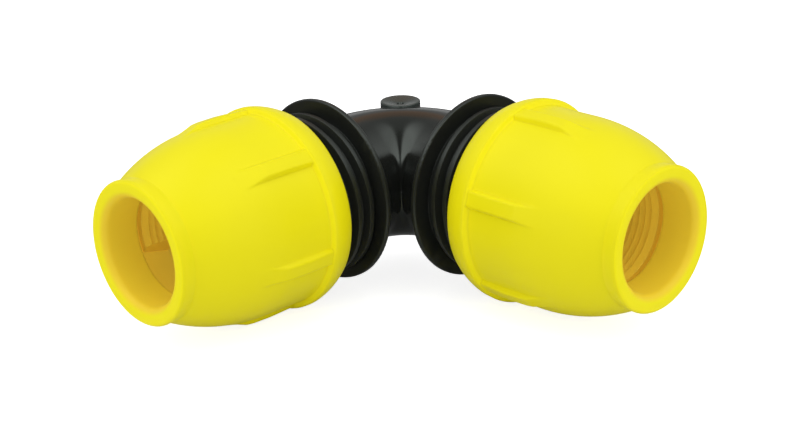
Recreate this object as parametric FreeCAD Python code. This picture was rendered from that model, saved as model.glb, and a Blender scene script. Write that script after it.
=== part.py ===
# Compression elbow for 1 inch IPS polyethylene pipe, in millimetres.
#
# A black moulded elbow carries a coarse outside thread on each arm, and a yellow
# ribbed nut screws on each thread. Inside each nut a split grip ring lies in the
# nut's cone, a bush presses an O-ring into the socket, and a thin steel sleeve
# stands in the socket to hold the pipe round. A pipe goes in at each nut's mouth.
#
# Each arm is modelled along +Z, from the point where the two arms' axes cross, and
# is then laid along +X for the right arm and along -Y for the left one. The origin
# of the part is on the surface that it lies on, under the middle of its box.
import FreeCAD, Part
import math
import os
from FreeCAD import Placement, Rotation, Vector

# Pipe, and the room that each hole leaves round it
pipe_radius = 16.7
pipe_wall = 3.05
mouth_clearance = 0.4
socket_clearance = 0.3
bush_clearance = 0.5
grip_clearance = 0.2
liner_clearance = 0.25

# Elbow moulding
stop_width = 1.9
stop_lead = 1.1
barrel_wall = 4.5
crotch_round = 2.0
flange_reach = 16.8
flange_height = 6.1
flange_thickness = 2.0
flange_edge_share = 0.35
flange_root_round = 1.0

# Gate bosses on the top and the underside of the bend
boss_radius = 6.5
boss_height = {"top": 2.3, "under": 3.5}
boss_foot_share = 0.5
boss_sink = 2.2
boss_edge = 0.3
boss_rim = 0.6
boss_dish = 0.5
dimple_radius = 1.3
dimple_depth = 0.5
stub_radius = 0.5
stub_height = 0.3

# Threaded sleeve on each arm
seal_section = 4.5
sleeve_wall = 2.8
sleeve_tail = 2.55
sleeve_chamfer = 1.0
thread_pitch = 5.0
thread_height_share = 0.52
thread_base_share = 0.64
thread_crest_share = 0.28
thread_lead_share = 0.37
thread_clearance = 0.4
thread_sink = 0.3
body_thread_turns = 5.5
body_thread_angle = {"left": -90.0, "right": -26.6}

# Seal, bush and pipe sleeve inside each arm
seal_run = 5.0
fit_gap = 0.05
bush_skirt_gap = 0.15
bush_collar = 1.3
bush_collar_step = 0.6
bush_lead_share = 0.75
bush_grip_gap = 0.3
liner_wall = 0.9
liner_length = 43.0
liner_rim = 1.2

# Nut. Depths are measured from its mouth, heights from the radius of its plain shell
nut_home_gap = 0.6
nut_wall = 4.0
lip_wall = 6.1
lip_round_share = 0.29
mouth_round_share = 0.45
lip_depth = 5.5
mouth_bore_depth = 13.0
cone_land = 0.8
cone_step = 2.5
cone_length = 13.2
cone_shelf = 2.7
shell_run = 14.6
band_length = 9.7
band_run = 3.0
band_height = 2.06
band_back_drop = 2.31
band_back_bulge = 0.35
band_back_edge = 0.4
nut_thread_turns = 3.4
nut_thread_lead = 0.5

# Ribs on the nut, with runs measured from the front of its band
rib_count = 6
rib_angle = 19.1
rib_run = 26.1
rib_ramp_run = 18.1
rib_knee_run = 8.6
rib_height = 1.65
rib_ramp_drop = 0.2
rib_back_drop = 0.4
rib_foot_width = 5.8
rib_crest_width = 4.6
rib_edge = 0.7
rib_sink = 1.2

# Grip ring
grip_inset = 1.2
grip_tail = 0.6
grip_cone_gap = 0.15
grip_tooth_depth = 0.8
grip_tooth_count = 5
grip_split = 9.0
grip_split_angle = {"left": -144.0, "right": -10.0}

# How many turns each nut is screwed back from its home against the flange
nut_turns = {"left": 2.99, "right": 2.8056}

# Radii that follow from the sizes above
mouth_radius = pipe_radius + mouth_clearance
socket_radius = pipe_radius + socket_clearance
bush_bore = pipe_radius + bush_clearance
grip_bore = pipe_radius + grip_clearance
liner_radius = pipe_radius - pipe_wall - liner_clearance
waterway_radius = pipe_radius - stop_width
barrel_radius = waterway_radius + barrel_wall
seal_recess_radius = pipe_radius + seal_section
sleeve_root_radius = seal_recess_radius + sleeve_wall
flange_radius = sleeve_root_radius + flange_height
thread_height = thread_pitch * thread_height_share
thread_crest_radius = sleeve_root_radius + thread_height
nut_root_radius = thread_crest_radius + thread_clearance
shell_radius = nut_root_radius + nut_wall
band_radius = shell_radius + band_height
lip_radius = mouth_radius + lip_wall
cone_front_radius = mouth_radius + cone_step
cone_back_radius = nut_root_radius - cone_shelf

# Places along an arm, from the crossing of the axes
flange_face = barrel_radius + flange_reach
flange_back = flange_face - flange_thickness
pipe_stop = flange_face - stop_lead
seal_seat = pipe_stop + seal_run
body_thread_start = flange_face + thread_pitch * thread_lead_share
nut_thread_start = body_thread_start + thread_pitch / 2
sleeve_end = body_thread_start + thread_pitch * body_thread_turns + sleeve_tail
bush_front = sleeve_end + bush_collar
nut_back_home = flange_face + nut_home_gap

# Depths in the nut, from its mouth
cone_front_depth = mouth_bore_depth + cone_land
cone_back_depth = cone_front_depth + cone_length
grip_front_depth = cone_front_depth + grip_inset
grip_back_depth = cone_back_depth - grip_tail
nut_length = bush_front + bush_grip_gap - nut_back_home + grip_back_depth
band_front = nut_length - band_length
dome_depth = band_front - shell_run
nut_mouth_home = nut_back_home + nut_length

# The whole part
reach = {side: nut_mouth_home + turns * thread_pitch for side, turns in nut_turns.items()}
centre_x = (reach["right"] - band_radius) / 2
centre_y = (band_radius - reach["left"]) / 2
crossing = Vector(-centre_x, -centre_y, band_radius)
arm_turn = {"right": Rotation(Vector(1, 1, 1), 120), "left": Rotation(Vector(1, 0, 0), 90)}

AXIS = Vector(0, 0, 1)
TINY = 1e-4


def outline(path):
    """Closed wire in the XZ plane. An entry is a point (radius, height), or a pair
    of points: one that an arc passes through and the one where it ends."""
    edges = []
    here = path[0]
    for step in list(path[1:]) + [path[0]]:
        if isinstance(step[0], tuple):
            middle, end = step
            arc = Part.Arc(*(Vector(r, 0, h) for r, h in (here, middle, end)))
            edges.append(arc.toShape())
        else:
            end = step
            if math.dist(here, end) > TINY:
                line = Part.LineSegment(Vector(here[0], 0, here[1]), Vector(end[0], 0, end[1]))
                edges.append(line.toShape())
        here = end
    return Part.Wire(edges)


def turned(path):
    """Solid of revolution about the arm's axis."""
    return Part.Face(outline(path)).revolve(Vector(0, 0, 0), AXIS, 360)


def arc_to(centre, radius, start, end):
    """Middle and end point of an arc between two directions in degrees."""
    points = []
    for angle in ((start + end) / 2, end):
        turn = math.radians(angle)
        points.append((centre[0] + radius * math.cos(turn), centre[1] + radius * math.sin(turn)))
    return tuple(points)


def thread_ridge(base_radius, crest_radius, turns):
    """Right-handed ridge of one thread, with the middle of its start at height 0."""
    outward = 1 if crest_radius > base_radius else -1
    foot_radius = base_radius - outward * thread_sink
    base_width = thread_pitch * thread_base_share
    crest_width = thread_pitch * thread_crest_share
    flank = (base_width - crest_width) / 2 / thread_height
    foot = base_width / 2 + flank * thread_sink
    tip = crest_width / 2
    section = [
        Vector(foot_radius, 0, -foot),
        Vector(crest_radius, 0, -tip),
        Vector(crest_radius, 0, tip),
        Vector(foot_radius, 0, foot),
    ]
    helix = Part.makeHelix(thread_pitch, thread_pitch * turns, foot_radius)
    profile = Part.makePolygon(section + section[:1])
    return Part.Wire(helix).makePipeShell([profile], True, True)


def clocked(shape, angle, height=0.0):
    """Copy of a shape, turned about the arm's axis and moved along it."""
    copy = shape.copy()
    copy.rotate(Vector(0, 0, 0), AXIS, angle)
    copy.translate(AXIS * height)
    return copy


def from_mouth(shape):
    """A shape whose heights are depths in the nut, turned over and moved to the nut's home."""
    copy = shape.copy()
    copy.rotate(Vector(0, 0, 0), Vector(1, 0, 0), 180)
    copy.translate(AXIS * nut_mouth_home)
    return copy


def placed(shape, side):
    """Copy of an arm's shape where it lies in the whole part."""
    copy = shape.copy()
    copy.Placement = Placement(crossing, arm_turn[side]).multiply(copy.Placement)
    return copy


def edges_where(shape, test):
    """Edges that pass a test at five points. The points are given from the crossing of the axes."""
    found = []
    for edge in shape.Edges:
        span = edge.LastParameter - edge.FirstParameter
        points = [edge.valueAt(edge.FirstParameter + span * n / 4) - crossing for n in range(5)]
        if all(test(point) for point in points):
            found.append(edge)
    return found


def arm_outside():
    """Barrel, flange and plain sleeve of one arm, solid."""
    edge = flange_thickness * flange_edge_share
    root = flange_root_round
    return turned([
        (0, 0),
        (barrel_radius, 0),
        (barrel_radius, flange_back - root),
        arc_to((barrel_radius + root, flange_back - root), root, 180, 90),
        (flange_radius - edge, flange_back),
        arc_to((flange_radius - edge, flange_back + edge), edge, -90, 0),
        (flange_radius, flange_face - edge),
        arc_to((flange_radius - edge, flange_face - edge), edge, 0, 90),
        (sleeve_root_radius, flange_face),
        (sleeve_root_radius, sleeve_end - sleeve_chamfer),
        (sleeve_root_radius - sleeve_chamfer, sleeve_end),
        (0, sleeve_end),
    ])


def arm_inside():
    """Waterway, pipe socket and seal recess of one arm, as the solid that is cut out."""
    beyond = sleeve_end + sleeve_tail
    return turned([
        (0, 0),
        (waterway_radius, 0),
        (waterway_radius, pipe_stop),
        (socket_radius, pipe_stop),
        (socket_radius, seal_seat),
        (seal_recess_radius, seal_seat),
        (seal_recess_radius, beyond),
        (0, beyond),
    ])


def gate_boss(height):
    """Round boss, with a dished end, a dimple in its middle and the stub of the gate in that."""
    top = barrel_radius + height
    foot = barrel_radius - boss_sink
    dish_floor = top - boss_dish
    dimple_floor = dish_floor - dimple_depth
    return turned([
        (0, foot),
        (boss_radius, foot),
        (boss_radius, top - boss_edge),
        (boss_radius - boss_edge, top),
        (boss_radius - boss_rim, top),
        (dimple_radius, dish_floor),
        (stub_radius + (dimple_radius - stub_radius) / 2, dimple_floor),
        (stub_radius, dimple_floor),
        (stub_radius, dimple_floor + stub_height),
        (0, dimple_floor + stub_height),
    ])


def bend_outside():
    """Two mitred barrels with a round back corner, their flanges and sleeves, and the gate bosses."""
    bend = Part.makeSphere(barrel_radius, crossing)
    for side in arm_turn:
        bend = bend.fuse(placed(arm_outside(), side))
    bend = bend.removeSplitter()
    crotch = edges_where(bend, lambda p: abs(p.x + p.y) < TINY and p.x > -TINY)
    bend = bend.makeFillet(crotch_round, crotch)
    under = gate_boss(boss_height["under"])
    under.rotate(Vector(0, 0, 0), Vector(1, 0, 0), 180)
    for boss in (gate_boss(boss_height["top"]), under):
        boss.translate(crossing)
        bend = bend.fuse(boss)
    bend = bend.removeSplitter()
    feet = edges_where(bend, lambda p: abs(math.hypot(p.x, p.y) - boss_radius) < TINY
                       and abs(p.z) < barrel_radius + TINY)
    return bend.makeFillet(boss_height["top"] * boss_foot_share, feet)


def elbow_body():
    """The elbow moulding, hollow right through, with a thread on each sleeve."""
    inside = Part.makeSphere(waterway_radius, crossing)
    for side in arm_turn:
        inside = inside.fuse(placed(arm_inside(), side))
    body = bend_outside().cut(inside.removeSplitter())
    thread = thread_ridge(sleeve_root_radius, thread_crest_radius, body_thread_turns)
    for side, angle in body_thread_angle.items():
        body = body.fuse(placed(clocked(thread, angle, body_thread_start), side))
    return body


def dome_point(depth):
    """Radius of the nut's dome at a depth from its mouth: an arc that runs out level at the shell."""
    run = dome_depth - lip_depth
    rise = shell_radius - lip_radius
    arc_radius = (run * run + rise * rise) / (2 * rise)
    left = dome_depth - depth
    return shell_radius - arc_radius + math.sqrt(arc_radius * arc_radius - left * left)


def nut_outline():
    """Half section of the nut from the middle of its mouth bore, heights measured from the mouth."""
    mouth_round = lip_wall * mouth_round_share
    lip_round = lip_wall * lip_round_share
    dome_middle = (lip_depth + dome_depth) / 2
    cove_turn = math.degrees(2 * math.atan2(band_height, band_run))
    cove = band_run / 2 / math.sin(math.radians(cove_turn))
    crown_depth = band_front + band_run
    back_depth = nut_length - band_back_edge
    back_radius = band_radius - band_back_drop
    back_middle = ((band_radius + back_radius) / 2 + band_back_bulge, (crown_depth + back_depth) / 2)
    return [
        (mouth_radius, mouth_bore_depth),
        (mouth_radius, mouth_round),
        arc_to((mouth_radius + mouth_round, mouth_round), mouth_round, 180, 270),
        (lip_radius - lip_round, 0),
        arc_to((lip_radius - lip_round, lip_round), lip_round, 270, 360),
        (lip_radius, lip_depth),
        ((dome_point(dome_middle), dome_middle), (shell_radius, dome_depth)),
        (shell_radius, band_front),
        arc_to((shell_radius + cove, band_front), cove, 180, 180 - cove_turn),
        arc_to((band_radius - cove, crown_depth), cove, -cove_turn, 0),
        (back_middle, (back_radius, back_depth)),
        (back_radius - band_back_edge, nut_length),
        (nut_root_radius + nut_thread_lead, nut_length),
        (nut_root_radius, nut_length - nut_thread_lead),
        (nut_root_radius, cone_back_depth),
        (cone_back_radius, cone_back_depth),
        (cone_front_radius, cone_front_depth),
        (cone_front_radius, mouth_bore_depth),
    ]


def nut_rib():
    """One rib of the nut: a tapered web with a rounded crest that ramps up from the dome."""
    front = band_front - rib_run
    back = band_front + band_run * 2 / 3
    low = dome_point(front) - rib_sink
    top = shell_radius + rib_height
    crest = [
        (dome_point(front), front),
        (top - rib_ramp_drop, band_front - rib_ramp_run),
        (top, band_front - rib_knee_run),
        (top - rib_back_drop, back),
    ]
    side = Part.Face(outline([(low, front)] + crest + [(low, back)]))
    side = side.extrude(Vector(0, 2 * rib_foot_width, 0))
    side.translate(Vector(0, -rib_foot_width, 0))
    taper = (rib_foot_width - rib_crest_width) / 2 / rib_height
    corners = []
    for radius, sign in ((low, -1), (top, -1), (top, 1), (low, 1)):
        half = rib_foot_width / 2 + taper * (shell_radius - radius)
        corners.append(Vector(radius, sign * half, front))
    section = Part.Face(Part.makePolygon(corners + corners[:1]))
    web = side.common(section.extrude(Vector(0, 0, back - front)))
    rounded = []
    for edge in web.Edges:
        first, last = (vertex.Point for vertex in edge.Vertexes)
        lengthways = abs(last.z - first.z) > abs(last.y - first.y)
        if lengthways and min(first.x, last.x) > low + TINY:
            rounded.append(edge)
    return web.makeFillet(rib_edge, rounded)


def nut():
    """Nut screwed home, with its inside thread in mesh with a sleeve thread that starts at 0 degrees."""
    shell = turned(nut_outline())
    rib = nut_rib()
    for n in range(rib_count):
        shell = shell.fuse(clocked(rib, 360 / rib_count * n))
    shell = clocked(from_mouth(shell), rib_angle)
    ridge = thread_ridge(nut_root_radius, nut_root_radius - thread_height, nut_thread_turns)
    return shell.fuse(clocked(ridge, 0, nut_thread_start))


def grip_ring():
    """Split ring with inside teeth, its outside parallel to the cone of a nut at its home."""
    slope = (cone_back_radius - cone_front_radius) / cone_length
    gap = grip_cone_gap * math.hypot(1, slope)
    front_radius = cone_front_radius + slope * grip_inset - gap
    back_radius = cone_back_radius - slope * grip_tail - gap
    tooth = (grip_back_depth - grip_front_depth) / grip_tooth_count
    teeth = []
    for n in range(grip_tooth_count):
        height = grip_back_depth - n * tooth
        teeth.append((grip_bore, height))
        teeth.append((grip_bore + grip_tooth_depth, height - tooth))
    ring = turned([
        (front_radius, grip_front_depth),
        (back_radius, grip_back_depth),
        *teeth,
    ])
    slot = Part.makeBox(cone_back_radius, grip_split, cone_back_depth)
    slot.translate(Vector(0, -grip_split / 2, 0))
    return from_mouth(ring.cut(slot))


def bush():
    """Collared bush that presses the seal home."""
    skirt_radius = seal_recess_radius - bush_skirt_gap
    skirt_foot = seal_seat + seal_section + fit_gap
    collar_radius = sleeve_root_radius - bush_collar_step
    lead = bush_collar * bush_lead_share
    return turned([
        (bush_bore, skirt_foot),
        (skirt_radius, skirt_foot),
        (skirt_radius, sleeve_end),
        (collar_radius, sleeve_end),
        (collar_radius, bush_front),
        (bush_bore + lead, bush_front),
        (bush_bore, bush_front - lead),
    ])


def seal():
    """O-ring in the bottom of the seal recess."""
    section = seal_section / 2 - fit_gap
    ring_radius = seal_recess_radius - fit_gap - section
    ring = Part.makeTorus(ring_radius, section)
    ring.translate(AXIS * (seal_seat + seal_section / 2))
    return ring


def liner():
    """Thin steel sleeve that stands inside the pipe's end, with a rim against the pipe stop."""
    inner = liner_radius - liner_wall
    rim_radius = socket_radius - fit_gap
    return turned([
        (inner, pipe_stop),
        (rim_radius, pipe_stop),
        (rim_radius, pipe_stop + liner_rim),
        (liner_radius, pipe_stop + liner_rim),
        (liner_radius, pipe_stop + liner_length),
        (inner, pipe_stop + liner_length),
    ])


def main():
    nodes = {"elbow_body": elbow_body()}
    home_nut = nut()
    home_grip = grip_ring()
    for side, turns in nut_turns.items():
        slide = turns * thread_pitch
        clock = body_thread_angle[side] + 360 * turns
        nodes[side + "_nut"] = placed(clocked(home_nut, clock, slide), side)
        nodes[side + "_grip_ring"] = placed(clocked(home_grip, grip_split_angle[side], slide), side)
        nodes[side + "_seal"] = placed(seal(), side)
        nodes[side + "_bush"] = placed(bush(), side)
        nodes[side + "_liner"] = placed(liner(), side)
    os.makedirs("parts", exist_ok=True)
    for name, shape in nodes.items():
        shape.exportStep("parts/" + name + ".step")
        print(name, shape.isValid(), len(shape.Solids), round(shape.Volume, 1))
    print("reach", reach, "nut", nut_length, "band", band_radius, "crossing", crossing)


main()
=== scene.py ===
# %% [markdown]
# # A compression elbow for plastic pipe
#
# The real object is a glossy black moulded bend with a coarse thread on each arm, and a
# ribbed yellow nut screwed on each thread. Its solids come from CAD, with every size
# settled. This lesson is about what comes on top: how the plastics take the light, the
# sweep of the bend and the fine marks of moulding, and a studio that shows them.
#
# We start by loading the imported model. All that we make is in metres and in its frame.

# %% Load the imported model
import math

import bpy
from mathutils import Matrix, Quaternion, Vector


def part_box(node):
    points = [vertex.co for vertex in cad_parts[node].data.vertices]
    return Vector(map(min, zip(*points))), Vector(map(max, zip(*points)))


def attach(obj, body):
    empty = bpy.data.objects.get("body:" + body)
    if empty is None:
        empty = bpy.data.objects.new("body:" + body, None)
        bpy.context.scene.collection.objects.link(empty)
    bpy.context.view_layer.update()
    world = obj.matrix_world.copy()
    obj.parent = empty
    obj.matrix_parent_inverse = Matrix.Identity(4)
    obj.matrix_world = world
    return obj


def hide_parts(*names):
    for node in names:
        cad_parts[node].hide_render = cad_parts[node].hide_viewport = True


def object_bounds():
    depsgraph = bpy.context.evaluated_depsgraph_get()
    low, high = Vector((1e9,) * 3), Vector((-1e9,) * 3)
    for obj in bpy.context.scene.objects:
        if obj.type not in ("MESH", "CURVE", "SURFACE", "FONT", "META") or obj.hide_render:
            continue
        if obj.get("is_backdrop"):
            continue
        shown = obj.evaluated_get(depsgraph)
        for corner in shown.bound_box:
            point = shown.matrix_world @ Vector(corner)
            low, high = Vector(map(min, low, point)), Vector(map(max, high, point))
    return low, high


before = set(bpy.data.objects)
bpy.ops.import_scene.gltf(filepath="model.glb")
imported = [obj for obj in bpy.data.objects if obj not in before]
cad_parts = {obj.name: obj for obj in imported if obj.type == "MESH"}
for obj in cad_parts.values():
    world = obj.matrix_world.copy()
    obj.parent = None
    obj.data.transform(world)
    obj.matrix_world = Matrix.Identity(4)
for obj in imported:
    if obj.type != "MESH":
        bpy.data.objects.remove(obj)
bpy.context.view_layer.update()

scene = bpy.context.scene
print("nodes", sorted(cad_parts))

# %% [markdown]
# ## Where the two arms cross
#
# Both arms lie level, and their axes cross in the middle of the bend. The height of that
# point is half of a nut's width, and its place along X and Y is the middle of each arm's
# own box. Much of what follows is placed from it.

# %% Find the crossing of the axes
MM = 0.001


def middle(node):
    """Middle of a CAD node's box."""
    low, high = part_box(node)
    return (low + high) / 2


right_nut_middle = middle("right_nut")
left_nut_middle = middle("left_nut")
bend = Vector((left_nut_middle.x, right_nut_middle.y, middle("right_bush").z))
print("the axes cross at", [round(v / MM, 2) for v in bend])

# %% [markdown]
# ## Camera
#
# The photograph looks down at the inner side of the bend with a long lens, and the camera
# was held a little out of level. A long lens from half a metre keeps the two nuts nearly
# equal in size, as they are there.

# %% Place the camera
CAMERA_FROM_BEND = Vector((389.888, -374.048, 184.521)) * MM
CAMERA_LOOKS_ALONG = Vector((-0.675806, 0.644777, -0.357140))
CAMERA_LEAN = math.radians(-1.949)
CAMERA_LENS = 75.54
CAMERA_SENSOR = 36

camera_data = bpy.data.cameras.new("camera")
camera_data.lens = CAMERA_LENS
camera_data.sensor_width = CAMERA_SENSOR
camera = bpy.data.objects.new("camera", camera_data)
scene.collection.objects.link(camera)
camera.location = bend + CAMERA_FROM_BEND
camera.rotation_mode = "QUATERNION"
level_turn = CAMERA_LOOKS_ALONG.to_track_quat("-Z", "Y")
camera.rotation_quaternion = level_turn @ Quaternion((0, 0, 1), CAMERA_LEAN)
scene.camera = camera
print("camera at", [round(v, 4) for v in camera.location])

# %% [markdown]
# ## Floor
#
# The photograph has a pure white ground. A wide, matt, near-white floor gives the same,
# and the faint soft shadow under the nuts tells that they stand on something.
#
# A small glow keeps the floor white to the camera. The glossy bend would mirror all of
# it, and in the photograph mirrors only the stretch right below, so to a mirror the
# floor goes dark a short way out.

# %% Lay the floor
FLOOR_SIZE = 8.0
FLOOR_TONE = 0.75
FLOOR_GLOW = 0.8
FLOOR_IN_GLOSS = 0.12
FLOOR_ROUGHNESS = 0.9
LIT_RADIUS = 0.085
LIT_FADE = 0.05


def empty_material(name):
    """New node material, with its tree and its Principled shader."""
    material = bpy.data.materials.new(name)
    material.use_nodes = True
    tree = material.node_tree
    return material, tree, tree.nodes["Principled BSDF"]


def put(tree, kind, values=None, links=None, **settings):
    """New node, with settings, plain values and links for its inputs."""
    node = tree.nodes.new(kind)
    for name, value in settings.items():
        setattr(node, name, value)
    for name, value in (values or {}).items():
        node.inputs[name].default_value = value
    for name, source in (links or {}).items():
        tree.links.new(source, node.inputs[name])
    return node


def blend(tree, factor, first, second):
    """Value between two, each a socket or a number."""
    node = put(tree, "ShaderNodeMix")
    for name, what in (("Factor", factor), ("A", first), ("B", second)):
        if isinstance(what, (int, float)):
            node.inputs[name].default_value = what
        else:
            tree.links.new(what, node.inputs[name])
    return node.outputs["Result"]


def shades(tree, factor, first, second):
    """Colour between two, each a socket or four numbers."""
    node = put(tree, "ShaderNodeMix", data_type="RGBA")
    tree.links.new(factor, node.inputs["Factor"])
    for socket, what in zip([s for s in node.inputs if s.type == "RGBA"], (first, second)):
        if isinstance(what, tuple):
            socket.default_value = what
        else:
            tree.links.new(what, socket)
    return next(s for s in node.outputs if s.type == "RGBA")


def ramp(tree, value, start, stop, low=0.0, high=1.0):
    """Smooth step of a value from low at start to high at stop."""
    node = put(
        tree,
        "ShaderNodeMapRange",
        {"From Min": start, "From Max": stop, "To Min": low, "To Max": high},
        {"Value": value},
        interpolation_type="SMOOTHSTEP",
    )
    return node.outputs["Result"]


def maths(tree, operation, *terms):
    """Result of a sum, each term a socket or a number."""
    node = put(tree, "ShaderNodeMath", operation=operation)
    for socket, what in zip(node.inputs, terms):
        if isinstance(what, (int, float)):
            socket.default_value = what
        else:
            tree.links.new(what, socket)
    return node.outputs[0]


def minus(tree, value):
    """A value with its sign turned."""
    return maths(tree, "MULTIPLY", value, -1)


bpy.ops.object.select_all(action="DESELECT")
bpy.ops.mesh.primitive_plane_add(size=FLOOR_SIZE, location=(0, 0, 0))
floor = bpy.context.object
floor.name = "floor"
floor_paint, floor_tree, floor_shader = empty_material("floor_paint")
floor_place = put(floor_tree, "ShaderNodeTexCoord")
floor_ray = put(floor_tree, "ShaderNodeLightPath")
away = put(
    floor_tree,
    "ShaderNodeVectorMath",
    links={"Vector": floor_place.outputs["Object"]},
    operation="LENGTH",
)
lit_edge = (LIT_RADIUS, LIT_RADIUS + LIT_FADE)
fade = ramp(floor_tree, away.outputs["Value"], *lit_edge, FLOOR_TONE, FLOOR_IN_GLOSS)
tone_seen = blend(floor_tree, floor_ray.outputs["Is Glossy Ray"], FLOOR_TONE, fade)
floor_tree.links.new(tone_seen, floor_shader.inputs["Base Color"])
glow_seen = maths(floor_tree, "MULTIPLY", floor_ray.outputs["Is Camera Ray"], FLOOR_GLOW)
floor_tree.links.new(glow_seen, floor_shader.inputs["Emission Strength"])
floor_shader.inputs["Emission Color"].default_value = (1, 1, 1, 1)
floor_shader.inputs["Roughness"].default_value = FLOOR_ROUGHNESS
floor_shader.inputs["Specular IOR Level"].default_value = 0.0
floor.data.materials.append(floor_paint)
floor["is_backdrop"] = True
print("floor", FLOOR_SIZE, "m wide")

# %% [markdown]
# ## Studio light
#
# The glossy bend is a map of the studio. Traced back from its bright and dark patches,
# there are two large soft boxes overhead, one on each side of the camera, with a narrow
# gap between them. They start a third of the way up and reach over and behind the object.
# Low down all is dim, apart from the pale backdrop behind.
#
# The world draws that map for glossy rays alone. To the camera it is white, and for the
# matt part of every surface it is an even fill, as from pale walls.
#
# Two angles place a patch on the map: across, to the right of the camera's upright plane,
# and over, which is 0 at the camera's side, 90 straight above and 180 behind.

# %% Measure directions from the camera's side
CAMERA_AZIMUTH = 46.19
WALL_SEEN = 1.0
WALL_FILL = 0.62
WALL_IN_GLOSS = 0.04
OVER_FROM, OVER_TO = -90, 270

world = bpy.data.worlds.new("studio")
world.use_nodes = True
scene.world = world
sky = world.node_tree
sky_place = put(sky, "ShaderNodeTexCoord")
turned = put(
    sky,
    "ShaderNodeVectorRotate",
    {"Angle": -math.radians(CAMERA_AZIMUTH)},
    {"Vector": sky_place.outputs["Generated"]},
    rotation_type="Z_AXIS",
)
parts = put(sky, "ShaderNodeSeparateXYZ", links={"Vector": turned.outputs["Vector"]})
towards = minus(sky, parts.outputs["Y"])
across = maths(sky, "DEGREES", maths(sky, "ARCSINE", parts.outputs["X"]))
above = maths(sky, "DEGREES", maths(sky, "ARCSINE", parts.outputs["Z"]))
over = maths(sky, "DEGREES", maths(sky, "ARCTAN2", parts.outputs["Z"], towards))
over = maths(sky, "WRAP", over, OVER_TO, OVER_FROM)
print("camera at azimuth", CAMERA_AZIMUTH)

# %% [markdown]
# A soft box has a soft lower edge, a soft inner edge beside the gap, and a long fade where
# it ends behind the object. The right one dims faster towards the back.

# %% Draw the two soft boxes
BOX_FOOT = (30, 38)
BOX_GAP = (5, 12)
BOXES = {
    # side, fade at the back (from, to), brightness (front, back)
    "left_box": (-1, (95, 135), (2.5, 1.5)),
    "right_box": (1, (100, 135), (2.2, 0.8)),
}
BOX_DIMS = (50, 120)
studio = WALL_IN_GLOSS
for name, (side, fade, power) in BOXES.items():
    outwards = maths(sky, "MULTIPLY", across, side)
    patch = maths(sky, "MULTIPLY", ramp(sky, above, *BOX_FOOT), ramp(sky, outwards, *BOX_GAP))
    patch = maths(sky, "MULTIPLY", patch, ramp(sky, over, *fade, 1.0, 0.0))
    patch = maths(sky, "MULTIPLY", patch, ramp(sky, over, *BOX_DIMS, *power))
    studio = maths(sky, "ADD", patch, studio)
    print(name, "from", power[0], "down to", power[1])

# %% [markdown]
# The dim parts of the room still show in the bend: a glow in the gap, the room above and
# behind, and the backdrop low behind, which lights the bend's top edge.

# %% Add the room's dim parts
GLOWS = {
    # across (from, to), over (from, to), brightness, softness in degrees
    "gap_front": ((-30, 30), (30, 52), 0.35, 14),
    "gap_top": ((-30, 30), (50, 110), 0.04, 20),
    "room_behind": ((-95, 95), (95, 185), 0.26, 24),
    "backdrop": ((-70, 70), (166, 187), 0.3, 6),
}


def window(value, low, high, soft):
    """1 between two angles and 0 beyond them, with soft edges."""
    rise = ramp(sky, value, low - soft / 2, low + soft / 2)
    fall = ramp(sky, value, high - soft / 2, high + soft / 2, 1.0, 0.0)
    return maths(sky, "MULTIPLY", rise, fall)


for name, (sides, heights, power, soft) in GLOWS.items():
    patch = maths(sky, "MULTIPLY", window(across, *sides, soft), window(over, *heights, soft))
    studio = maths(sky, "ADD", maths(sky, "MULTIPLY", patch, power), studio)
    print(name, power)

# %% [markdown]
# Something warm stands behind the object, out of view: the bend mirrors it as a small
# brown glow under its gate boss. It is the one coloured patch on the map.

# %% Tint the room and set the world
WARM_PATCH = ((-7, 7), (134, 156), 7)
WARM_COLOUR = (1.0, 0.62, 0.42, 1)
WARM_POWER = 0.2
sides, heights, soft = WARM_PATCH
warm = maths(sky, "MULTIPLY", window(across, *sides, soft), window(over, *heights, soft))
studio = maths(sky, "ADD", maths(sky, "MULTIPLY", warm, WARM_POWER), studio)
sky_ray = put(sky, "ShaderNodeLightPath")
strength = blend(sky, sky_ray.outputs["Is Glossy Ray"], WALL_FILL, studio)
strength = blend(sky, sky_ray.outputs["Is Camera Ray"], strength, WALL_SEEN)
sky.links.new(strength, sky.nodes["Background"].inputs["Strength"])
warm_seen = maths(sky, "MULTIPLY", warm, sky_ray.outputs["Is Glossy Ray"])
tint = shades(sky, warm_seen, (1, 1, 1, 1), WARM_COLOUR)
sky.links.new(tint, sky.nodes["Background"].inputs["Color"])
print("warm patch", WARM_COLOUR[:3])

# %% [markdown]
# A soft lamp is flat, with a width, a height and a power. Each is placed by its direction
# from the bend, measured round from the camera, and turned to face the bend. The lamps
# give the matt surfaces their shading and are left out of mirrors.

# %% Hang the lamps
LAMPS = {
    # around and above in degrees, distance, width and height in metres, power in watts
    "left_lamp": (-90, 55, 1.5, 1.6, 1.2, 3.2),
    "right_lamp": (75, 55, 1.5, 1.4, 1.2, 3.0),
    "top_lamp": (0, 80, 1.6, 1.4, 1.2, 4.1),
    "low_left_lamp": (-45, 14, 1.5, 0.9, 0.9, 2.2),
    "low_right_lamp": (45, 14, 1.5, 0.9, 0.9, 2.2),
}


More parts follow.
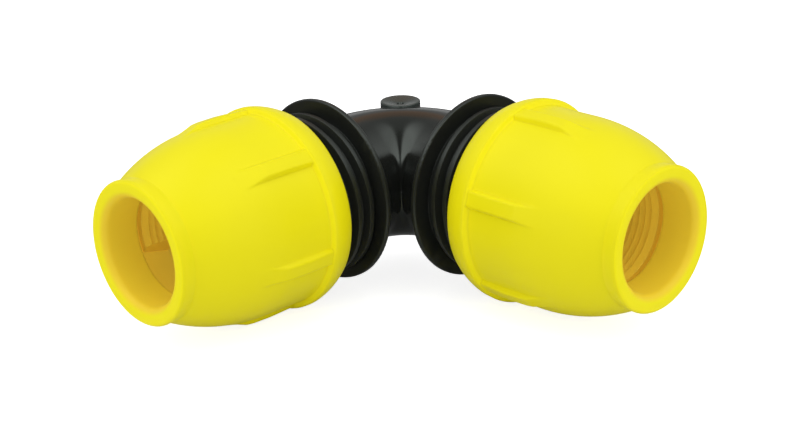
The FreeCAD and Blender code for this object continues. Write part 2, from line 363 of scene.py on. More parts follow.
def soft_lamp(name, around, above, distance, width, height, power):
    """Flat lamp in a direction from the bend, around = 0 being the camera's side."""
    turn, lift = math.radians(CAMERA_AZIMUTH + around), math.radians(above)
    direction = Vector((
        math.sin(turn) * math.cos(lift),
        -math.cos(turn) * math.cos(lift),
        math.sin(lift),
    ))
    lamp = bpy.data.lights.new(name, "AREA")
    lamp.shape = "RECTANGLE"
    lamp.size = width
    lamp.size_y = height
    lamp.energy = power
    hung = bpy.data.objects.new(name, lamp)
    scene.collection.objects.link(hung)
    hung.location = bend + direction * distance
    hung.rotation_mode = "QUATERNION"
    hung.rotation_quaternion = (-direction).to_track_quat("-Z", "Y")
    hung.visible_glossy = False
    print(name, "at", [round(v, 2) for v in hung.location])


for name, settings in LAMPS.items():
    soft_lamp(name, *settings)

# %% [markdown]
# ## Moulded skin
#
# Moulded plastic is never quite even. Its colour drifts a little, its gloss is patchy, and
# its skin has a fine waviness where the melt cooled. One node group makes all three from
# noise in object coordinates, so every plastic here can share it with its own amounts.
#
# The group also rounds sharp edges in the shading, because a mould has no sharp corner.

# %% Make the moulded skin group
SKIN_INPUTS = {
    "Drift": 0.04,
    "Gloss": 0.3,
    "Patchiness": 0.05,
    "Grain Size": 900.0,
    "Grain Height": 0.00002,
    "Edge Radius": 0.0004,
}
EDGE_SAMPLES = 6


def value_socket(group, name, direction, default=None, kind="NodeSocketFloat"):
    """New socket on a node group."""
    socket = group.interface.new_socket(name=name, in_out=direction, socket_type=kind)
    if default is not None:
        socket.default_value = default


skin = bpy.data.node_groups.new("moulded_skin", "ShaderNodeTree")
for name, usual in SKIN_INPUTS.items():
    value_socket(skin, name, "INPUT", usual)
value_socket(skin, "Tone", "OUTPUT")
value_socket(skin, "Roughness", "OUTPUT")
value_socket(skin, "Normal", "OUTPUT", kind="NodeSocketVector")

skin_in = skin.nodes.new("NodeGroupInput")
skin_out = skin.nodes.new("NodeGroupOutput")
place = skin.nodes.new("ShaderNodeTexCoord")
clouds = put(skin, "ShaderNodeTexNoise", {"Scale": 42.0, "Detail": 3.0, "Roughness": 0.55})
patches = put(skin, "ShaderNodeTexNoise", {"Scale": 130.0, "Detail": 4.0, "Roughness": 0.6})
grain = put(skin, "ShaderNodeTexNoise", {"Detail": 3.0, "Roughness": 0.6})
for noise in (clouds, patches, grain):
    skin.links.new(place.outputs["Object"], noise.inputs["Vector"])
skin.links.new(skin_in.outputs["Grain Size"], grain.inputs["Scale"])


def spread(noise, amount, centre):
    """Noise from 0 to 1, spread by an amount round a centre value."""
    centred = maths(skin, "SUBTRACT", noise.outputs["Fac"], 0.5)
    return maths(skin, "MULTIPLY_ADD", centred, amount, centre)


tone = spread(clouds, skin_in.outputs["Drift"], 1.0)
skin.links.new(tone, skin_out.inputs["Tone"])
rough = spread(patches, skin_in.outputs["Patchiness"], skin_in.outputs["Gloss"])
skin.links.new(rough, skin_out.inputs["Roughness"])
soft_edge = skin.nodes.new("ShaderNodeBevel")
soft_edge.samples = EDGE_SAMPLES
skin.links.new(skin_in.outputs["Edge Radius"], soft_edge.inputs["Radius"])
ripple = put(skin, "ShaderNodeBump", {"Strength": 1.0})
skin.links.new(skin_in.outputs["Grain Height"], ripple.inputs["Distance"])
skin.links.new(grain.outputs["Fac"], ripple.inputs["Height"])
skin.links.new(soft_edge.outputs["Normal"], ripple.inputs["Normal"])
skin.links.new(ripple.outputs["Normal"], skin_out.inputs["Normal"])
print("group", skin.name, "with", len(skin.nodes), "nodes")

# %% [markdown]
# ## Plastics
#
# Each plastic is one Principled shader. The drifting tone picks its colour between two
# close shades, and its roughness and normal come straight from the group.

# %% Define a moulded plastic


def moulded(
    name, colour, dark_colour, drift, gloss, patchiness, grain_size, grain_height, edge_radius
):
    """Material of moulded plastic whose colour drifts between two close shades."""
    material, tree, shader = empty_material(name)
    surface = put(tree, "ShaderNodeGroup", node_tree=skin)
    amounts = (drift, gloss, patchiness, grain_size, grain_height, edge_radius)
    for socket, amount in zip(SKIN_INPUTS, amounts):
        surface.inputs[socket].default_value = amount
    paint = shades(tree, surface.outputs["Tone"], (*dark_colour, 1), (*colour, 1))
    tree.links.new(paint, shader.inputs["Base Color"])
    tree.links.new(surface.outputs["Roughness"], shader.inputs["Roughness"])
    tree.links.new(surface.outputs["Normal"], shader.inputs["Normal"])
    return material, shader


print("a moulded plastic sets", list(SKIN_INPUTS))

# %% [markdown]
# ## Light inside the nuts
#
# Yellow plastic lets some light soak through its wall. Inside a nut, that light and the light
# that bounces from wall to wall turn the yellow to a warm, even orange.
# Here that orange is painted light: a deeper base colour and an emitted glow.
#
# The nut and the grip ring both need this, so a node group finds the inside: there a
# surface faces the axis of its own arm. The two arms meet at the bend, so the sign of
# x + y, measured from the bend, tells one arm from the other.
#
# The group gives two more masks. Front finds what faces out of the mouth, such as the lip.
# Deep finds what lies more than about 14 mm inside the mouth, where the painted glow is
# stronger.

# %% Make the inside mask group
FACES_AXIS = (0.05, 0.85)
FACES_FRONT = (0.6, 0.95)
DEEP_UP_TO = (0.0968, 0.0974)


def from_the_bend(tree):
    """Texture coordinates, and the X, Y and Z of a place as measured from the bend."""
    place = tree.nodes.new("ShaderNodeTexCoord")
    offset = put(
        tree,
        "ShaderNodeVectorMath",
        links={0: place.outputs["Object"]},
        operation="SUBTRACT",
    )
    offset.inputs[1].default_value = bend
    legs = put(tree, "ShaderNodeSeparateXYZ", links={"Vector": offset.outputs["Vector"]})
    return place, legs.outputs


inside_group = bpy.data.node_groups.new("faces_own_axis", "ShaderNodeTree")
spot, legs = from_the_bend(inside_group)
sum_xy = maths(inside_group, "ADD", legs["X"], legs["Y"])
on_left = maths(inside_group, "LESS_THAN", sum_xy, 0)
on_right = maths(inside_group, "SUBTRACT", 1, on_left)


def by_arm(left_value, right_value):
    """One value on the left arm and another on the right one."""
    left_share = maths(inside_group, "MULTIPLY", left_value, on_left)
    right_share = maths(inside_group, "MULTIPLY", right_value, on_right)
    return maths(inside_group, "ADD", left_share, right_share)


radial = put(
    inside_group,
    "ShaderNodeCombineXYZ",
    links={
        "X": maths(inside_group, "MULTIPLY", legs["X"], on_left),
        "Y": maths(inside_group, "MULTIPLY", legs["Y"], on_right),
        "Z": legs["Z"],
    },
)
away_from_axis = put(
    inside_group,
    "ShaderNodeVectorMath",
    links={0: radial.outputs["Vector"]},
    operation="NORMALIZE",
)
facing = put(
    inside_group,
    "ShaderNodeVectorMath",
    links={0: away_from_axis.outputs["Vector"], 1: spot.outputs["Normal"]},
    operation="DOT_PRODUCT",
)
normal = put(inside_group, "ShaderNodeSeparateXYZ", links={"Vector": spot.outputs["Normal"]})
to_axis = minus(inside_group, facing.outputs["Value"])
to_front = by_arm(minus(inside_group, normal.outputs["Y"]), normal.outputs["X"])
along = by_arm(minus(inside_group, legs["Y"]), legs["X"])
masks = {
    "Inside": ramp(inside_group, to_axis, *FACES_AXIS),
    "Front": ramp(inside_group, to_front, *FACES_FRONT),
    "Deep": ramp(inside_group, along, *DEEP_UP_TO, 1.0, 0.0),
}
inside_out = inside_group.nodes.new("NodeGroupOutput")
for name, mask in masks.items():
    value_socket(inside_group, name, "OUTPUT")
    inside_group.links.new(mask, inside_out.inputs[name])
print("group", inside_group.name, "gives", list(masks))

# %% [markdown]
# The nuts are a clear lemon yellow with a satin gloss. Inside, the masks paint in a deeper
# colour and a soft glow, which stand in for the light inside, and on the lip's front a fainter
# painted glow, which stands in for light falling on the lip.

# %% Mix the yellow of the nuts
NUT_SPECULAR = 0.16


def paint_inside_light(
    material, shader, colour, glow, everywhere=0.0, rim_glow=(0, 0, 0), deep_glow=None
):
    """Painted light: a deeper base colour and a soft glow on the surfaces that face their own
    axis.
    """
    tree = material.node_tree
    masks = put(tree, "ShaderNodeGroup", node_tree=inside_group)
    mask = maths(tree, "MAXIMUM", masks.outputs["Inside"], everywhere)
    plain = shader.inputs["Base Color"].links[0].from_socket
    tree.links.new(shades(tree, mask, plain, (*colour, 1)), shader.inputs["Base Color"])
    rim = shades(tree, masks.outputs["Front"], (0, 0, 0, 1), (*rim_glow, 1))
    bore = shades(tree, masks.outputs["Deep"], (*glow, 1), (*(deep_glow or glow), 1))
    tree.links.new(shades(tree, mask, rim, bore), shader.inputs["Emission Color"])
    shader.inputs["Emission Strength"].default_value = 1.0


nut_yellow, nut_shader = moulded(
    "nut_yellow",
    colour=(0.93, 0.84, 0.006),
    dark_colour=(0.90, 0.80, 0.004),
    drift=0.5,
    gloss=0.36,
    patchiness=0.08,
    grain_size=1500.0,
    grain_height=0.00001,
    edge_radius=0.0009,
)
nut_shader.inputs["Specular IOR Level"].default_value = NUT_SPECULAR
# Painted light: an orange base colour and a glow inside each nut, standing in for light
# through the wall and between the walls.
paint_inside_light(
    nut_yellow,
    nut_shader,
    colour=(0.93, 0.66, 0.03),
    glow=(0.070, 0.080, 0.010),
    # painted light on the lip's front faces
    rim_glow=(0.11, 0.10, 0.002),
    # stronger painted light deep in the bore
    deep_glow=(0.20, 0.155, 0.018),
)
print("made", nut_yellow.name)

# %% [markdown]
# The bend is black and much glossier: its reflections are clear enough to read the studio
# in them, and they are faintly green.

# %% Mix the black of the bend
REFLECTION_TINT = (0.90, 1.0, 0.93, 1)

body_black, body_shader = moulded(
    "body_black",
    colour=(0.0142, 0.0154, 0.0134),
    dark_colour=(0.0126, 0.0137, 0.0119),
    drift=0.5,
    gloss=0.15,
    patchiness=0.06,
    grain_size=700.0,
    grain_height=0.000006,
    edge_radius=0.0004,
)
body_shader.inputs["Specular Tint"].default_value = REFLECTION_TINT
print("made", body_black.name)

# %% [markdown]
# Only the bend itself comes from a polished part of the mould. From the flanges outwards
# the arms are duller, so their roughness is raised there. The round face of each gate boss
# is duller still, and greyer, where the gate was trimmed.

# %% Dull the arms and the boss faces
ARM_DULL_FROM = 32.5 * MM
ARM_DULL_BY = 34.5 * MM
ARM_ROUGHNESS = 0.2
BOSS_REACH = 6.7 * MM
BOSS_FACE_HEIGHT = 20.8 * MM
BOSS_ROUGHNESS = 0.12
BOSS_GREY = (0.036, 0.045, 0.041, 1)

body_tree = body_black.node_tree
body_legs = from_the_bend(body_tree)[1]
along_arm = maths(body_tree, "MAXIMUM", body_legs["X"], minus(body_tree, body_legs["Y"]))
arm_dull = ramp(body_tree, along_arm, ARM_DULL_FROM, ARM_DULL_BY, 0.0, ARM_ROUGHNESS)
squares = [maths(body_tree, "POWER", body_legs[axis], 2) for axis in ("X", "Y")]
from_upright = maths(body_tree, "ADD", *squares)
on_boss = maths(body_tree, "LESS_THAN", from_upright, BOSS_REACH ** 2)
height = maths(body_tree, "ABSOLUTE", body_legs["Z"])
high = maths(body_tree, "GREATER_THAN", height, BOSS_FACE_HEIGHT)
boss_face = maths(body_tree, "MULTIPLY", on_boss, high)
boss_dull = maths(body_tree, "MULTIPLY", boss_face, BOSS_ROUGHNESS)
polished = body_shader.inputs["Roughness"].links[0].from_socket
dull = maths(body_tree, "ADD", maths(body_tree, "ADD", polished, arm_dull), boss_dull)
body_tree.links.new(dull, body_shader.inputs["Roughness"])
black = body_shader.inputs["Base Color"].links[0].from_socket
body_paint = shades(body_tree, boss_face, black, BOSS_GREY)
body_tree.links.new(body_paint, body_shader.inputs["Base Color"])
print("dull from", round(ARM_DULL_FROM / MM, 1), "mm along the arms")

# %% [markdown]
# Of the inside pieces only the grip rings show in the photograph, in a warmer yellow than
# the nuts'. Bushes, seals and liners stay hidden and have plain finishes: black plastic,
# dull rubber and rolled steel.

# %% Mix the inside pieces' materials
# The ring's warmer yellow stands in for the light inside the bore: it is painted light, like
# the nuts' inside orange.
grip_plastic, grip_shader = moulded(
    "grip_plastic",
    colour=(0.88, 0.56, 0.05),
    dark_colour=(0.84, 0.52, 0.04),
    drift=0.5,
    gloss=0.4,
    patchiness=0.08,
    grain_size=1200.0,
    grain_height=0.00001,
    edge_radius=0.0002,
)
# Painted light: the bore's orange and glow, on three quarters of the ring or more.
paint_inside_light(
    grip_plastic,
    grip_shader,
    colour=(0.86, 0.60, 0.04),
    glow=(0.095, 0.075, 0.010),
    everywhere=0.75,
)
bush_black, _ = moulded(
    "bush_black",
    colour=(0.012, 0.012, 0.012),
    dark_colour=(0.008, 0.008, 0.008),
    drift=0.5,
    gloss=0.4,
    patchiness=0.08,
    grain_size=900.0,
    grain_height=0.00001,
    edge_radius=0.0002,
)
seal_rubber, _ = moulded(
    "seal_rubber",
    colour=(0.008, 0.008, 0.008),
    dark_colour=(0.005, 0.005, 0.005),
    drift=0.5,
    gloss=0.55,
    patchiness=0.1,
    grain_size=1500.0,
    grain_height=0.00001,
    edge_radius=0.0001,
)
liner_steel, steel_shader = moulded(
    "liner_steel",
    colour=(0.62, 0.62, 0.60),
    dark_colour=(0.52, 0.52, 0.51),
    drift=0.5,
    gloss=0.28,
    patchiness=0.12,
    grain_size=1500.0,
    grain_height=0.000005,
    edge_radius=0.0001,
)
steel_shader.inputs["Metallic"].default_value = 1.0
print("made", [m.name for m in (grip_plastic, bush_black, seal_rubber, liner_steel)])

# %% [markdown]
# ## The swept bend
#
# In the photograph the bend is not two straight barrels that meet in a mitre: it sweeps
# round in a quarter of a ring. So a copy of the CAD body loses its corner, and a quarter
# of a torus closes the gap, one surface outside and one for the waterway inside.
#
# A CAD mesh is loose triangles. Its copy is merged first, so that its cut edges are whole
# loops.

# %% Size the sweep and make helpers
SWEEP = 22.0 * MM
TUBE_RADIUS = 21.5 * MM
WATERWAY = 14.8 * MM
CAD_TUBE = 19.3 * MM
CUT = 22.8 * MM
FLANGE_BACK = 34.1 * MM
# Distances in metres within which points are one, or are taken as lying on a surface
MERGE_WITHIN = 0.000002
SAME_PLACE = 0.00001


def alone(piece):
    """Makes a piece the only selected one."""
    bpy.ops.object.select_all(action="DESELECT")
    piece.select_set(True)
    bpy.context.view_layer.objects.active = piece


def edit_all():
    """Edit mode, with all of the active piece selected."""
    bpy.ops.object.mode_set(mode="EDIT")
    bpy.ops.mesh.select_all(action="SELECT")


def merged_copy(node, name):
    """Copy of a CAD node as one joined skin."""
    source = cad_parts[node]
    piece = bpy.data.objects.new(name, source.data.copy())
    scene.collection.objects.link(piece)
    alone(piece)
    edit_all()
    bpy.ops.mesh.remove_doubles(threshold=MERGE_WITHIN)
    bpy.ops.mesh.customdata_custom_splitnormals_clear()
    bpy.ops.object.mode_set(mode="OBJECT")
    return piece


def pick(piece, kind, test):
    """Selects the vertices or faces whose place, from the bend, passes a test."""
    bpy.ops.object.mode_set(mode="EDIT")
    bpy.ops.mesh.select_mode(type="FACE" if kind == "faces" else "VERT")
    bpy.ops.mesh.select_all(action="DESELECT")
    bpy.ops.object.mode_set(mode="OBJECT")
    mesh = piece.data
    found = 0
    for item in mesh.polygons if kind == "faces" else mesh.vertices:
        place = (item.center if kind == "faces" else item.co) - bend
        item.select = bool(test(place))
        found += item.select
    bpy.ops.object.mode_set(mode="EDIT")
    return found


def join_to(target, *pieces):
    """Adds the faces of pieces to a target."""
    alone(target)
    for piece in pieces:
        piece.select_set(True)
    bpy.ops.object.join()


print("tube", TUBE_RADIUS / MM, "mm round a sweep of", SWEEP / MM, "mm")

# %% [markdown]
# Two planes square to the arms cut the copy. The corner between them goes, and the rest of
# the tube, up to the flanges, is widened to the sweep's radius.

# %% Cut the body's corner away
CUT_SLACK = 0.0001
# How far inside and outside its radius a point of the CAD tube may lie, in metres
SKIN_BELOW, SKIN_ABOVE = 0.0003, 0.0011


def in_corner(place):
    """Whether a place lies on the bend's side of both cuts."""
    return place.x < CUT and place.y > -CUT


body = merged_copy("elbow_body", "swept_body")
bpy.ops.object.mode_set(mode="EDIT")
for cut_place, cut_normal in (((CUT, 0, 0), (1, 0, 0)), ((0, -CUT, 0), (0, 1, 0))):
    bpy.ops.mesh.select_all(action="SELECT")
    bpy.ops.mesh.bisect(plane_co=bend + Vector(cut_place), plane_no=cut_normal)
print("corner faces", pick(body, "faces", in_corner))
bpy.ops.mesh.delete(type="FACE")
bpy.ops.mesh.select_mode(type="VERT")
bpy.ops.object.mode_set(mode="OBJECT")
for vertex in body.data.vertices:
    x, y, z = vertex.co - bend
    for run, off in ((x, Vector((0, y, z))), (-y, Vector((x, 0, z)))):
        on_tube = CUT - CUT_SLACK < run < FLANGE_BACK + SAME_PLACE
        if on_tube and CAD_TUBE - SKIN_BELOW < off.length < CAD_TUBE + SKIN_ABOVE:
            vertex.co += off.normalized() * (TUBE_RADIUS - CAD_TUBE)

# %% [markdown]
# A full torus has three quarters too many. The faces on the wrong side of its centre go,
# and what stays starts and ends square to the two arms.

# %% Add the swept tube outside and inside
SWEEP_CENTRE = bend + Vector((SWEEP, -SWEEP, 0))
SWEEP_STEPS = 160
SECTION_STEPS = 96


def quarter_tube(name, sweep, radius, steps, flip=False):
    """Quarter of a torus between the two arms."""
    bpy.ops.object.select_all(action="DESELECT")
    bpy.ops.mesh.primitive_torus_add(
        location=(0, 0, 0),
        major_segments=SWEEP_STEPS,
        minor_segments=steps,
        major_radius=sweep,
        minor_radius=radius,
    )
    tube = bpy.context.object
    tube.name = name
    edit_all()
    bpy.ops.transform.translate(value=SWEEP_CENTRE)
    if flip:
        bpy.ops.mesh.flip_normals()
    pick(tube, "faces", lambda place: place.x > SWEEP or place.y < -SWEEP)
    bpy.ops.mesh.delete(type="FACE")
    bpy.ops.object.mode_set(mode="OBJECT")
    print(name, len(tube.data.polygons), "faces")
    return tube


outer_tube = quarter_tube("outer_tube", SWEEP, TUBE_RADIUS, SECTION_STEPS)
inner_tube = quarter_tube("inner_tube", SWEEP, WATERWAY, SECTION_STEPS, flip=True)
join_to(body, outer_tube, inner_tube)

# %% [markdown]
# Four bridges close the seams: on each arm, one outside and one inside.

# %% Bridge the seams
SEAM_SLACK = 0.0004

for arm, along, off_axis in (
    ("right", lambda p: p.x, lambda p: math.hypot(p.y, p.z)),
    ("left", lambda p: -p.y, lambda p: math.hypot(p.x, p.z)),
):
    for ring, radius in (("outside", TUBE_RADIUS), ("inside", WATERWAY)):
        pick(
            body,
            "vertices",
            lambda p: SWEEP - SAME_PLACE < along(p) < CUT + SAME_PLACE
            and abs(off_axis(p) - radius) < SEAM_SLACK,
        )
        bpy.ops.mesh.select_mode(type="EDGE")
        bpy.ops.mesh.bridge_edge_loops()
        print("bridged", arm, ring)
bpy.ops.mesh.select_mode(type="VERT")
bpy.ops.mesh.select_all(action="SELECT")
bpy.ops.mesh.normals_make_consistent(inside=False)
bpy.ops.object.mode_set(mode="OBJECT")

# %% [markdown]
# The gate bosses stand on the crossing of the axes, so they sit towards the outside of the
# sweep. Each is a cylinder with a rounded edge. Insets on its end face make the flat rim,
# the shallow dish, the dimple and the stub of the gate in its middle.
#
# A torus a little wider than the waterway is cut from its foot, so that nothing of it
# sticks into the water.

# %% Make the gate bosses
BOSS_RADIUS = 6.7 * MM
BOSS_FOOT = 11.7 * MM
BOSS_ENDS = {"top_boss": 21.9 * MM, "under_boss": -22.7 * MM}
BOSS_EDGE = 0.35 * MM
BOSS_EDGE_STEPS = 3
BOSS_STEPS = 96
BOSS_MIDDLE = 1.0 * MM
BOSS_INSETS = (
    # inwards, downwards
    (0.6, 0.0),
    (4.5, 1.0),
    (0.45, 0.8),
    (0.3, 0.0),
    (0.02, -0.3),
)
BORE_CLEARANCE = 1.0 * MM
BORE_STEPS = 64


def use_and_drop(piece, tool, operation):
    """Boolean of a piece with a tool that is no longer needed."""
    alone(piece)
    cut = piece.modifiers.new("cut", "BOOLEAN")
    cut.object = tool
    cut.operation = operation
    cut.solver = "EXACT"
    bpy.ops.object.modifier_apply(modifier="cut")
    bpy.data.objects.remove(tool)


for name, end in BOSS_ENDS.items():
    bpy.ops.object.select_all(action="DESELECT")
    bpy.ops.mesh.primitive_cylinder_add(
        vertices=BOSS_STEPS,
        radius=BOSS_RADIUS,
        depth=abs(end) - BOSS_FOOT,
        location=(0, 0, 0),
    )
    boss = bpy.context.object
    boss.name = name
    edit_all()
    if end < 0:
        bpy.ops.transform.rotate(value=math.pi, orient_axis="X", center_override=(0, 0, 0))
    half_way = (end + math.copysign(BOSS_FOOT, end)) / 2
    bpy.ops.transform.translate(value=bend + Vector((0, 0, half_way)))
    pick(boss, "faces", lambda p: abs(p.z - end) < SAME_PLACE)
    bpy.ops.mesh.bevel(offset=BOSS_EDGE, segments=BOSS_EDGE_STEPS, affect="EDGES")
    pick(boss, "faces", lambda p: abs(p.z - end) < SAME_PLACE and p.xy.length < BOSS_MIDDLE)
    for inwards, downwards in BOSS_INSETS:
        bpy.ops.mesh.inset(thickness=inwards * MM, depth=-downwards * MM)
    bpy.ops.object.mode_set(mode="OBJECT")
    bpy.ops.object.select_all(action="DESELECT")
    bpy.ops.mesh.primitive_torus_add(
        location=SWEEP_CENTRE,
        major_segments=SWEEP_STEPS,
        minor_segments=BORE_STEPS,
        major_radius=SWEEP,
        minor_radius=WATERWAY + BORE_CLEARANCE,
    )
    use_and_drop(boss, bpy.context.object, "DIFFERENCE")
    use_and_drop(body, boss, "UNION")
    print(name, "added;", len(body.data.polygons), "faces")

# %% [markdown]
# The two halves of the mould met half-way up the bend, and left a fine raised line all
# round it. Straight runs are thin cylinders along the arms, on the inside of the bend and
# on the outside, and round the sweep's back goes a quarter of a thin ring.

# %% Add the parting line
PARTING = 0.3 * MM
LINE_STEPS = 12
RUN_START, RUN_END = SWEEP - 0.6 * MM, 33.2 * MM

for side, start in ((-1, RUN_START), (1, SWEEP)):
    for turn_axis in ("Y", "X"):
        bpy.ops.object.select_all(action="DESELECT")
        bpy.ops.mesh.primitive_cylinder_add(
            vertices=LINE_STEPS,
            radius=PARTING,
            depth=RUN_END - start,
            location=(0, 0, 0),
        )
        line = bpy.context.object
        edit_all()
        bpy.ops.transform.rotate(
            value=math.pi / 2,
            orient_axis=turn_axis,
            center_override=(0, 0, 0),
        )
        half_way = (start + RUN_END) / 2
        off_axis = side * TUBE_RADIUS
        shift = (half_way, off_axis, 0) if turn_axis == "Y" else (-off_axis, -half_way, 0)
        bpy.ops.transform.translate(value=bend + Vector(shift))
        bpy.ops.object.mode_set(mode="OBJECT")
        join_to(body, line)

line = quarter_tube("back_line", SWEEP + TUBE_RADIUS, PARTING, LINE_STEPS)
alone(line)
edit_all()
bpy.ops.mesh.fill_holes(sides=0)
bpy.ops.object.mode_set(mode="OBJECT")
join_to(body, line)
print("parting line", PARTING / MM, "mm high")

# %% [markdown]
# Each copy is shaded, given its material and handed over in place of its CAD node. Loose
# ends show as edges that don't lie between two faces. There should be none.

# %% Finish the swept body
SMOOTH_ANGLE = 32


def finish_copy(piece, *nodes, body_name, slot_name, material):
    """Shades a piece and hands it over in place of its CAD nodes."""
    alone(piece)
    piece.data.materials.clear()
    piece.data.materials.append(material)
    for polygon in piece.data.polygons:
        polygon.material_index = 0
    bpy.ops.object.shade_smooth_by_angle(angle=math.radians(SMOOTH_ANGLE))
    bpy.ops.object.mode_set(mode="EDIT")
    bpy.ops.mesh.select_mode(type="VERT")
    bpy.ops.mesh.select_all(action="DESELECT")
    bpy.ops.mesh.select_non_manifold()
    bpy.ops.object.mode_set(mode="OBJECT")
    loose = sum(vertex.select for vertex in piece.data.vertices)
    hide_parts(*nodes)
    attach(piece, body_name)
    print(piece.name, len(piece.data.polygons), "faces,", loose, "loose vertices")


finish_copy(body, "elbow_body", body_name="elbow", slot_name="body_black", material=body_black)

# %% [markdown]
# ## The nuts
#
# The mouth of each nut has a slimmer lip than the CAD nut, with a smaller round, and its
# neck lies nearer the front. The ribs rise more gently from the dome, and the band's foot
# is crisper. All of this is a new place for the outside points of a copy of each nut:
# a point keeps its angle, and its depth and radius follow the new section.
#
# A rib has points at its two ends only, so the copy is first cut across at even depths.

# %% Describe the new section
# All in mm, with depths measured from the mouth
SHELL = 31.0
DOME_DEPTH = 35.0
OLD_LIP = {"radius": 23.2, "neck": 23.2, "depth": 5.5, "round": 1.77}
NEW_LIP = {"radius": 22.80, "neck": 22.50, "depth": 4.9, "round": 1.2}
RIB_RISE = (22.0, 35.0)
BAND_FRONT = 49.6
BAND_RUN = 3.0
BAND_CRISP = 0.55
CUT_DEPTHS = range(24, 37, 2)
# Heights over the shell: inside points lie below the first, and ribs above the second
BELOW_SHELL = -0.06
ON_RIB = 0.03
SLACK = 0.01


def dome(depth, lip):
    """Radius of the nut's dome: an arc that runs out level at the shell."""
    run, rise = DOME_DEPTH - lip["depth"], SHELL - lip["neck"]
    arc = (run * run + rise * rise) / (2 * rise)
    return SHELL - arc + math.sqrt(arc * arc - (DOME_DEPTH - depth) ** 2)


def shell_at(depth):
    """Radius of the drawn shell between neck and band."""
    return dome(depth, OLD_LIP) if depth < DOME_DEPTH else SHELL


def smooth_step(value, start, stop):
    """0 up to start and 1 from stop on, with a smooth rise between."""
    share = min(1.0, max(0.0, (value - start) / (stop - start)))
    return share * share * (3 - 2 * share)


def redrawn(depth, radius):
    """New depth and radius of a point of the nut, in mm, depth from its mouth."""
    if depth < OLD_LIP["depth"] - SLACK:
        if radius < OLD_LIP["radius"] - OLD_LIP["round"] - SLACK:
            return depth, radius
        share = NEW_LIP["round"] / OLD_LIP["round"]
        if depth < OLD_LIP["round"]:
            return depth * share, NEW_LIP["radius"] - (OLD_LIP["radius"] - radius) * share
        along = (depth - OLD_LIP["round"]) / (OLD_LIP["depth"] - OLD_LIP["round"])
        new_depth = NEW_LIP["round"] + along * (NEW_LIP["depth"] - NEW_LIP["round"])
        return new_depth, NEW_LIP["radius"] + along * (NEW_LIP["neck"] - NEW_LIP["radius"])
    height = radius - shell_at(min(depth, BAND_FRONT))
    if height < BELOW_SHELL or depth > BAND_FRONT + BAND_RUN:
        return depth, radius
    if depth > BAND_FRONT:
        return BAND_FRONT + (depth - BAND_FRONT) * BAND_CRISP, radius
    if height > ON_RIB:
        height *= smooth_step(depth, *RIB_RISE)
    if depth > DOME_DEPTH:
        return depth, SHELL + height
    stretch = (DOME_DEPTH - NEW_LIP["depth"]) / (DOME_DEPTH - OLD_LIP["depth"])
    new_depth = DOME_DEPTH - (DOME_DEPTH - depth) * stretch
    return new_depth, dome(new_depth, NEW_LIP) + height


print("lip", 2 * NEW_LIP["radius"], "mm wide")

# %% [markdown]
# The copy's points outside then move from the old section to the new one. Points on the
# thread, the cone and the mouth stay where they are.

# %% Redraw the outside of the nuts
SPECK = 0.000001
ALONG = {"left": Vector((0, -1, 0)), "right": Vector((1, 0, 0))}

for side, along in ALONG.items():
    nut = merged_copy(side + "_nut", side + "_screw_nut")
    nut_low, nut_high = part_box(side + "_nut")
    mouth = bend.y - nut_low.y if side == "left" else nut_high.x - bend.x
    bpy.ops.object.mode_set(mode="EDIT")
    for depth in CUT_DEPTHS:
        bpy.ops.mesh.select_all(action="SELECT")
        cut_place = bend + along * (mouth - depth * MM)
        bpy.ops.mesh.bisect(plane_co=cut_place, plane_no=along)
    bpy.ops.object.mode_set(mode="OBJECT")
    moved = 0
    for vertex in nut.data.vertices:
        place = vertex.co - bend
        run = place.dot(along)
        off = place - along * run
        depth, radius = (mouth - run) / MM, off.length / MM
        new_depth, new_radius = redrawn(depth, radius)
        if (new_depth, new_radius) != (depth, radius):
            on_axis = bend + along * (mouth - new_depth * MM)
            vertex.co = on_axis + off * (new_radius / radius)
            moved += 1
    alone(nut)
    edit_all()
    bpy.ops.mesh.dissolve_degenerate(threshold=SPECK)
    bpy.ops.mesh.select_all(action="SELECT")
    bpy.ops.mesh.normals_make_consistent(inside=False)
    bpy.ops.object.mode_set(mode="OBJECT")
    print(side, "nut:", moved, "points moved")
    finish_copy(
        nut,
        side + "_nut",
        body_name=side + "_nut",
        slot_name="nut_yellow",
        material=nut_yellow,
    )

# %% [markdown]
# ## The grip rings
#
# The left ring's front edge ends part of the way down the mouth, and below it nothing of
# the ring shows. Its slot is therefore wider than it was drawn. The right ring's slot is
# turned out of sight. In a copy of each ring, the slot's two sides move apart along the
# ring, which keeps its rounds.

# %% Widen and turn the slots
SLOT_HALF = 8.5 * MM
SLOTS = {
    # side: direction of the slot in the CAD ring, turn of the ring, in degrees
    "left": (-144.0, 14.8),
    "right": (-10.0, 180.0),
}

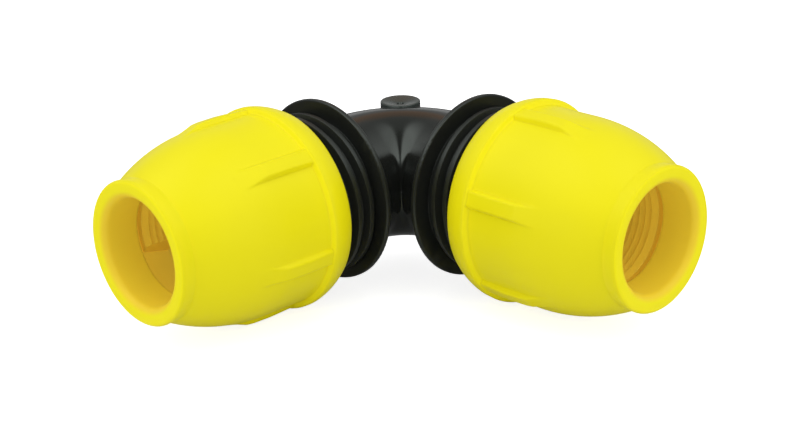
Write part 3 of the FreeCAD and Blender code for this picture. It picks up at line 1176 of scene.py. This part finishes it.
for side, (at, turn) in SLOTS.items():
    ring = merged_copy(side + "_grip_ring", side + "_ring")
    towards_slot = math.radians(at)
    for vertex in ring.data.vertices:
        place = vertex.co - bend
        first = place.x if side == "left" else place.y
        near = first * math.cos(towards_slot) + place.z * math.sin(towards_slot)
        off = place.z * math.cos(towards_slot) - first * math.sin(towards_slot)
        if near > 0 and abs(off) < SLOT_HALF:
            radius = math.hypot(first, place.z)
            angle = towards_slot + math.copysign(math.asin(SLOT_HALF / radius), off)
            first, up = radius * math.cos(angle), radius * math.sin(angle)
            if side == "left":
                vertex.co = bend + Vector((first, place.y, up))
            else:
                vertex.co = bend + Vector((place.x, first, up))
    alone(ring)
    edit_all()
    bpy.ops.mesh.remove_doubles(threshold=MERGE_WITHIN)
    bpy.ops.mesh.dissolve_degenerate(threshold=MERGE_WITHIN)
    bpy.ops.mesh.select_all(action="SELECT")
    bpy.ops.transform.rotate(
        value=math.radians(turn),
        orient_axis="Y" if side == "left" else "X",
        center_override=bend,
    )
    bpy.ops.mesh.normals_make_consistent(inside=False)
    bpy.ops.object.mode_set(mode="OBJECT")
    finish_copy(
        ring,
        side + "_grip_ring",
        body_name=side + "_grip",
        slot_name="grip_ring",
        material=grip_plastic,
    )

# %% [markdown]
# ## Dress the pieces
#
# Each CAD node that stays gets its material in its own slot. Nothing about its shape
# changes.

# %% Put the materials on
FINISH = {
    "elbow_body": body_black,
    "nut": nut_yellow,
    "grip_ring": grip_plastic,
    "bush": bush_black,
    "seal": seal_rubber,
    "liner": liner_steel,
}
for name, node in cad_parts.items():
    kind = name.split("_", 1)[1] if name != "elbow_body" else name
    node.data.materials.clear()
    node.data.materials.append(FINISH[kind])
    print(name, len(node.data.polygons), "faces,", FINISH[kind].name)

# %% [markdown]
# ## Colours as the camera gives them
#
# The photograph's yellow is strong and its ground is pure white. Blender's standard view
# keeps both, where the filmic ones would wash the yellow out.

# %% Choose the view and finish
scene.view_settings.view_transform = "Standard"
low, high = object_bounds()
print("box", [round(v, 4) for v in high - low])
